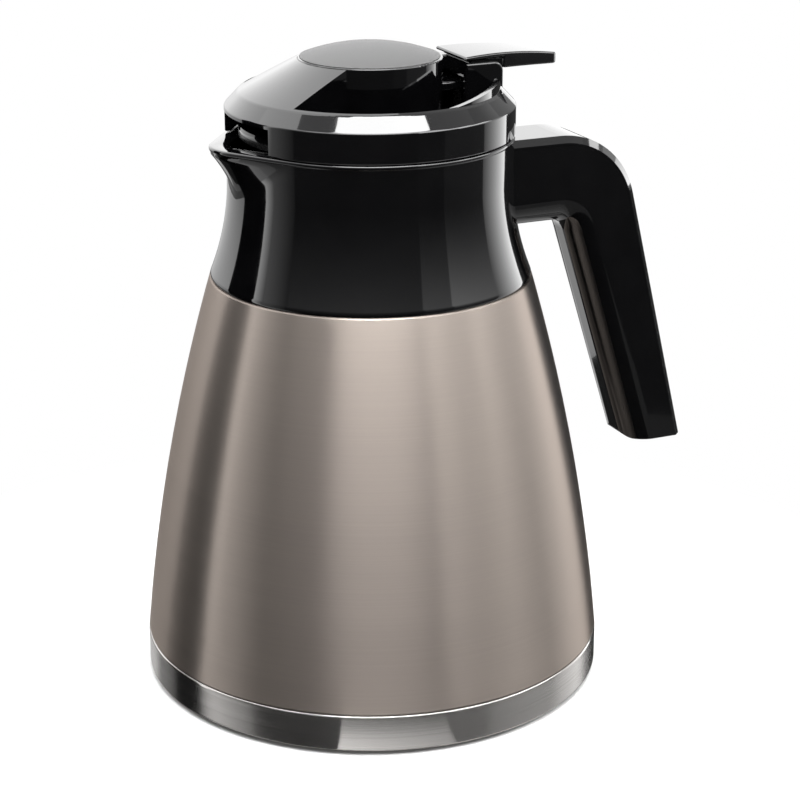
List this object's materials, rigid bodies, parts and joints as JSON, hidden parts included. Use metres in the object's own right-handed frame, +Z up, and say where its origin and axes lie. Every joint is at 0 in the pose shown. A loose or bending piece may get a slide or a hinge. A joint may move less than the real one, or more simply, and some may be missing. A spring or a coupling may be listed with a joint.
{
  "type": "thermal carafe",
  "caption": "Conical steel vacuum carafe for tea with a black pouring collar, an open-ended handle and a twist-off lid whose thumb lever lifts a pour valve.",
  "frame": {"origin": "centre of the foot, on the surface that the carafe stands on", "axes": "+Z up along the carafe's axis, +X towards the handle, -X towards the spout"},
  "size_m": [0.1991, 0.16, 0.2209],
  "materials": {
    "taupe_lacquer": "satin metallic lacquer",
    "band_steel": "brushed round the band",
    "inner_steel": "satin drawn sheet",
    "black_gloss": "high gloss moulding",
    "cap_grey": "satin grey",
    "stopper_plastic": "fine matt moulding",
    "foot_rubber": "matt",
    "silicone": "milky, matt",
    "fixing_steel": "plain stainless"
  },
  "bodies": {
    "vessel": {"base_ring": "band_steel", "base_pad": "foot_rubber", "base_cap": "stopper_plastic", "base_plate": "inner_steel", "vacuum_seal": "fixing_steel", "outer_shell": "taupe_lacquer", "inner_liner": "inner_steel", "getter": "fixing_steel", "collar": "black_gloss", "collar_gasket": "silicone", "handle_shell": "black_gloss", "handle_back": "black_gloss", "handle_screws": "fixing_steel"},
    "lid_seal": {"lid_gasket": "silicone"},
    "lid": {"lid_shell": "black_gloss", "lid_cap": "cap_grey", "lid_insert": "stopper_plastic", "insert_screws": "fixing_steel", "lever_pin": "fixing_steel", "stem_guide": "stopper_plastic", "valve_spring": "fixing_steel"},
    "lever": {"lever": "black_gloss"},
    "valve": {"valve_stem": "fixing_steel", "valve_plug": "stopper_plastic", "valve_seal": "silicone"}
  },
  "joints": [
    {"name": "lid_rise", "type": "slide", "parent": "vessel", "child": "lid_seal", "axis": [0, 0, 1], "range_m": [0, 0.048]},
    {"name": "lid_turn", "type": "hinge", "parent": "lid_seal", "child": "lid", "pos_m": [0, 0, 0.18], "axis": [0, 0, 1], "range_deg": [0, 360]},
    {"name": "lever_press", "type": "hinge", "parent": "lid", "child": "lever", "pos_m": [0.037, 0, 0.206], "axis": [0, 1, 0], "range_deg": [0, 8], "stiffness_Nm_per_rad": 0.3, "springref_deg": -8.59},
    {"name": "valve_lift", "type": "slide", "parent": "lid", "child": "valve", "axis": [0, 0, 1], "range_m": [0, 0.0054], "deforming": ["valve_spring"]}
  ],
  "couplings": [
    {"joint": "lid_rise", "follows": "lid_turn", "m_per_rad": 0.0076394},
    {"joint": "valve_lift", "follows": "lever_press", "m_per_rad": 0.037}
  ]
}
